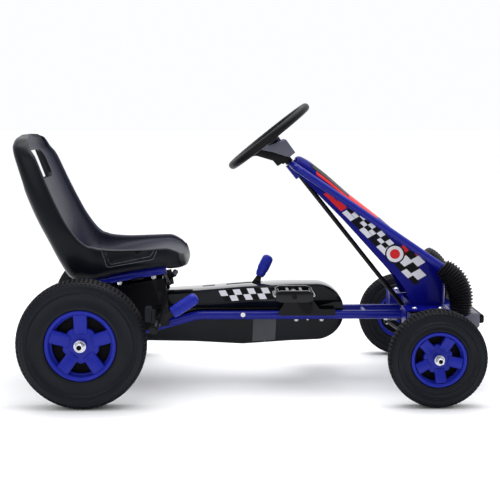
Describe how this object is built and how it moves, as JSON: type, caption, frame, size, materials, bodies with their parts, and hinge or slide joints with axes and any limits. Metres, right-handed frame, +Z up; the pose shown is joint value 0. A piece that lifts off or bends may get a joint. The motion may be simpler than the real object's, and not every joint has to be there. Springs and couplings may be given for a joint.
{
  "type": "pedal go kart",
  "caption": "Child's four-wheel pedal go kart: tubular frame, bucket seat, chain case with pedal crank, steered front wheels, hand brake, front fairing and bumper.",
  "frame": {"origin": "on the ground under the middle of the kart's length and width", "axes": "+X is the direction of travel, +Y is the driver's left, +Z is up"},
  "size_m": [0.984, 0.574, 0.6065],
  "materials": {
    "blue_paint": "gloss",
    "blue_plastic": "gloss",
    "black_gloss_plastic": "gloss",
    "black_seat_plastic": "fine leather grain, satin",
    "black_plastic": "satin",
    "grey_plastic": "satin",
    "black_paint": "satin",
    "rubber": "matt",
    "tyre": "matt",
    "zinc": "zinc plated",
    "steel": "oiled"
  },
  "bodies": {
    "chassis": {"main_rails": "blue_paint", "cross_tubes": "blue_paint", "bumper_bar": "grey_plastic", "bumper_strip": "rubber", "hoop_tubes": "blue_paint", "hose_sleeves": "black_plastic", "steering_bearings": "blue_paint", "front_axle_beam": "blue_paint", "kingpin_brackets": "black_paint", "kingpins": "zinc", "beam_bolts": "zinc", "front_fairing": "blue_paint", "case_upper": "black_gloss_plastic", "case_lower_front": "black_gloss_plastic", "case_lower_rear": "black_gloss_plastic", "case_joint_tape": "grey_plastic", "rear_axle_brackets": "black_paint", "frame_bearings": "steel", "crank_brackets": "black_paint", "seat_pedestal": "black_paint", "frame_bolts": "zinc", "drive_chain": "steel", "brake_bracket": "black_paint"},
    "seat": {"seat_shell": "black_seat_plastic", "seat_tubes": "blue_paint", "seat_slider": "black_paint", "seat_bolts": "zinc", "seat_lock_spring": "zinc"},
    "seat_lock": {"seat_lock_lever": "black_paint", "seat_lock_knob": "grey_plastic"},
    "steering": {"steering_wheel": "black_plastic", "steering_hub": "black_plastic", "steering_hub_cover": "grey_plastic", "steering_shaft": "black_paint"},
    "knuckle_right": {"knuckle_right": "zinc", "front_nut_right": "zinc"},
    "knuckle_left": {"knuckle_left": "zinc", "front_nut_left": "zinc"},
    "tie_rod_right": {"tie_rod_right": "zinc"},
    "tie_rod_left": {"tie_rod_left": "zinc"},
    "front_wheel_right": {"front_tyre_right": "tyre", "front_rim_right": "blue_plastic"},
    "front_wheel_left": {"front_tyre_left": "tyre", "front_rim_left": "blue_plastic"},
    "rear_axle": {"rear_axle": "zinc", "driven_sprocket": "steel", "rear_axle_nuts": "zinc", "rear_tyre_right": "tyre", "rear_rim_right": "blue_plastic"},
    "rear_wheel_left": {"rear_tyre_left": "tyre", "rear_rim_left": "blue_plastic"},
    "crank": {"crankshaft": "steel", "drive_sprocket": "steel"},
    "pedal_right": {"pedal_right": "black_plastic"},
    "pedal_left": {"pedal_left": "black_plastic"},
    "brake": {"brake_lever": "black_paint", "brake_grip": "blue_plastic", "brake_pad": "rubber"},
    "gear_lever": {"gear_lever": "black_paint", "gear_grip": "blue_plastic"}
  },
  "joints": [
    {"name": "steering_turn", "type": "hinge", "parent": "chassis", "child": "steering", "pos_m": [0.043, 0, 0.5353], "axis": [0.6239, 0, -0.7815], "range_deg": [-30, 30]},
    {"name": "knuckle_right_turn", "type": "hinge", "parent": "chassis", "child": "knuckle_right", "pos_m": [0.3718, -0.14, 0.0993], "axis": [0, 0, 1], "range_deg": [-25, 25]},
    {"name": "knuckle_left_turn", "type": "hinge", "parent": "chassis", "child": "knuckle_left", "pos_m": [0.3718, 0.14, 0.0993], "axis": [0, 0, 1], "range_deg": [-25, 25]},
    {"name": "tie_rod_right_turn", "type": "hinge", "parent": "knuckle_right", "child": "tie_rod_right", "pos_m": [0.3268, -0.14, 0.09327], "axis": [0, 0, 1], "range_deg": [-25, 25]},
    {"name": "tie_rod_left_turn", "type": "hinge", "parent": "knuckle_left", "child": "tie_rod_left", "pos_m": [0.3268, 0.14, 0.10027], "axis": [0, 0, 1], "range_deg": [-25, 25]},
    {"name": "front_wheel_right_spin", "type": "hinge", "parent": "knuckle_right", "child": "front_wheel_right", "pos_m": [0.3718, -0.25, 0.0993], "axis": [0, 1, 0], "continuous": true},
    {"name": "front_wheel_left_spin", "type": "hinge", "parent": "knuckle_left", "child": "front_wheel_left", "pos_m": [0.3718, 0.25, 0.0993], "axis": [0, 1, 0], "continuous": true},
    {"name": "rear_axle_spin", "type": "hinge", "parent": "chassis", "child": "rear_axle", "pos_m": [-0.337, 0, 0.13], "axis": [0, 1, 0], "continuous": true},
    {"name": "rear_wheel_left_spin", "type": "hinge", "parent": "rear_axle", "child": "rear_wheel_left", "pos_m": [-0.337, 0.245, 0.13], "axis": [0, 1, 0], "continuous": true},
    {"name": "crank_spin", "type": "hinge", "parent": "chassis", "child": "crank", "pos_m": [0.124, 0, 0.168], "axis": [0, 1, 0], "continuous": true},
    {"name": "pedal_right_spin", "type": "hinge", "parent": "crank", "child": "pedal_right", "pos_m": [0.09201, -0.108, 0.20695], "axis": [0, 1, 0], "continuous": true},
    {"name": "pedal_left_spin", "type": "hinge", "parent": "crank", "child": "pedal_left", "pos_m": [0.15599, 0.108, 0.12905], "axis": [0, 1, 0], "continuous": true},
    {"name": "seat_slide", "type": "slide", "parent": "chassis", "child": "seat", "axis": [0.9848, 0, 0.1736], "range_m": [0, 0.05]},
    {"name": "seat_lock_turn", "type": "hinge", "parent": "seat", "child": "seat_lock", "pos_m": [-0.17351, -0.04, 0.22255], "axis": [0, 1, 0], "range_deg": [0, 20], "stiffness_Nm_per_rad": 0.3, "springref_deg": -17.19},
    {"name": "brake_turn", "type": "hinge", "parent": "chassis", "child": "brake", "pos_m": [-0.193, -0.19, 0.16], "axis": [0, 1, 0], "range_deg": [-13, 0]},
    {"name": "gear_turn", "type": "hinge", "parent": "chassis", "child": "gear_lever", "pos_m": [-0.014, 0, 0.152], "axis": [0, 1, 0], "range_deg": [-40, 0]}
  ],
  "couplings": [
    {"joint": "knuckle_right_turn", "follows": "steering_turn", "ratio": -0.8},
    {"joint": "knuckle_left_turn", "follows": "steering_turn", "ratio": -0.8},
    {"joint": "tie_rod_right_turn", "follows": "steering_turn", "ratio": 0.8},
    {"joint": "tie_rod_left_turn", "follows": "steering_turn", "ratio": 0.8},
    {"joint": "crank_spin", "follows": "rear_axle_spin", "ratio": 0.6}
  ]
}
